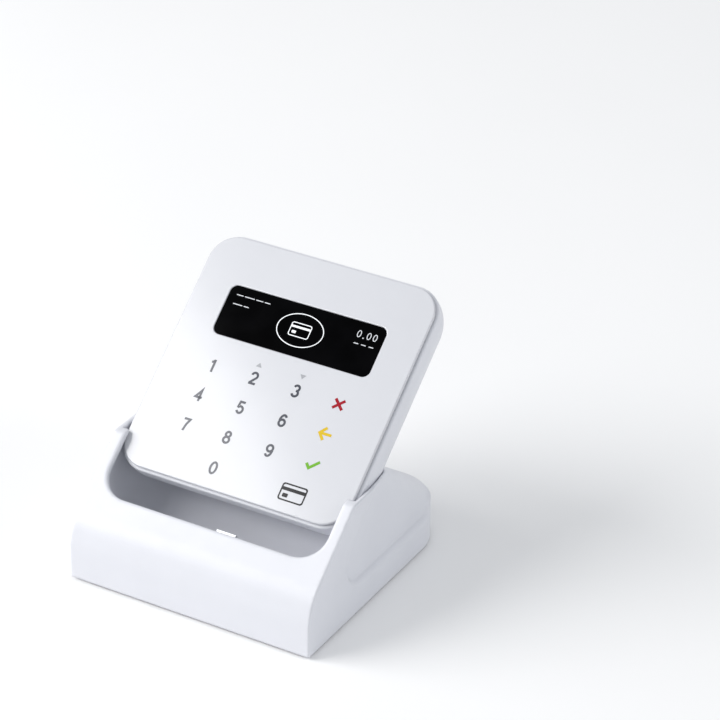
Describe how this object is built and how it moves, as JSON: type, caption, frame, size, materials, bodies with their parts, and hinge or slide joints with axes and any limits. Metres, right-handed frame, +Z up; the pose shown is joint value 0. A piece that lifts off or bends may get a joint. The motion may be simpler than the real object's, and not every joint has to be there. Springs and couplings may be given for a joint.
{
  "type": "card payment terminal",
  "caption": "Square pocket card payment terminal with a printed keypad and a black display, part way up out of a reclined charging cradle.",
  "frame": {"origin": "middle of the object's footprint box, on the surface it stands on", "axes": "+X to the right of a person facing the keypad, +Y away from that person, +Z up. The terminal's face is tilted 40 degrees from level and slides along (0, 0.766, 0.643)"},
  "size_m": [0.0878, 0.0938, 0.0864],
  "materials": {
    "shell_white": "satin moulded ABS with a fine texture",
    "face_white": "gloss, printed from behind",
    "display_black": "gloss black window",
    "display_module": "satin",
    "sensor_film": "translucent film",
    "circuit_board": "solder mask",
    "flex_amber": "polyimide",
    "copper": "bare track",
    "steel": "plated",
    "chip_black": "moulded",
    "black_plastic": "moulded",
    "gold_contacts": "gold flash",
    "battery_foil": "satin foil pouch",
    "foam": "open cell",
    "rubber": "matt",
    "label_grey": "blank printed film"
  },
  "bodies": {
    "cradle": {"cradle_shell": "shell_white", "base_plate": "shell_white", "ballast_plate": "steel", "inlet_board": "circuit_board", "power_inlet": "steel", "power_inlet_tongue": "black_plastic", "link_ribbon": "flex_amber", "base_screw_1": "steel", "base_screw_2": "steel", "base_screw_3": "steel", "base_screw_4": "steel", "foot_pad_1": "rubber", "foot_pad_2": "rubber", "foot_pad_3": "rubber", "foot_pad_4": "rubber", "plug_carrier": "shell_white", "charging_plug": "steel", "charging_plug_contacts": "gold_contacts", "plug_board": "circuit_board"},
    "terminal": {"rear_shell": "shell_white", "front_cover": "face_white", "display_lens": "display_black", "display_panel": "display_module", "touch_sensor": "sensor_film", "main_board": "circuit_board", "charge_board": "circuit_board", "display_flex": "flex_amber", "nfc_antenna": "copper", "shield_can": "steel", "radio_module": "steel", "charge_socket": "steel", "backup_cell": "steel", "rear_screw_1": "steel", "rear_screw_2": "steel", "rear_screw_3": "steel", "rear_screw_4": "steel", "secure_processor": "chip_black", "buzzer": "chip_black", "chip_card_frame": "black_plastic", "charge_socket_tongue": "black_plastic", "power_switch": "black_plastic", "card_contact_block": "gold_contacts", "battery": "battery_foil", "battery_pad": "foam", "tamper_contact_1": "rubber", "tamper_contact_2": "rubber", "rear_label": "label_grey"},
    "power_button": {"power_button": "shell_white"}
  },
  "joints": [
    {"name": "terminal_lift", "type": "slide", "parent": "cradle", "child": "terminal", "axis": [0, 0.766, 0.6428], "range_m": [-0.013, 0.06]},
    {"name": "power_press", "type": "slide", "parent": "terminal", "child": "power_button", "axis": [1, 0, 0], "range_m": [0, 0.0005], "stiffness_N_per_m": 600, "springref_m": -0.0005}
  ]
}
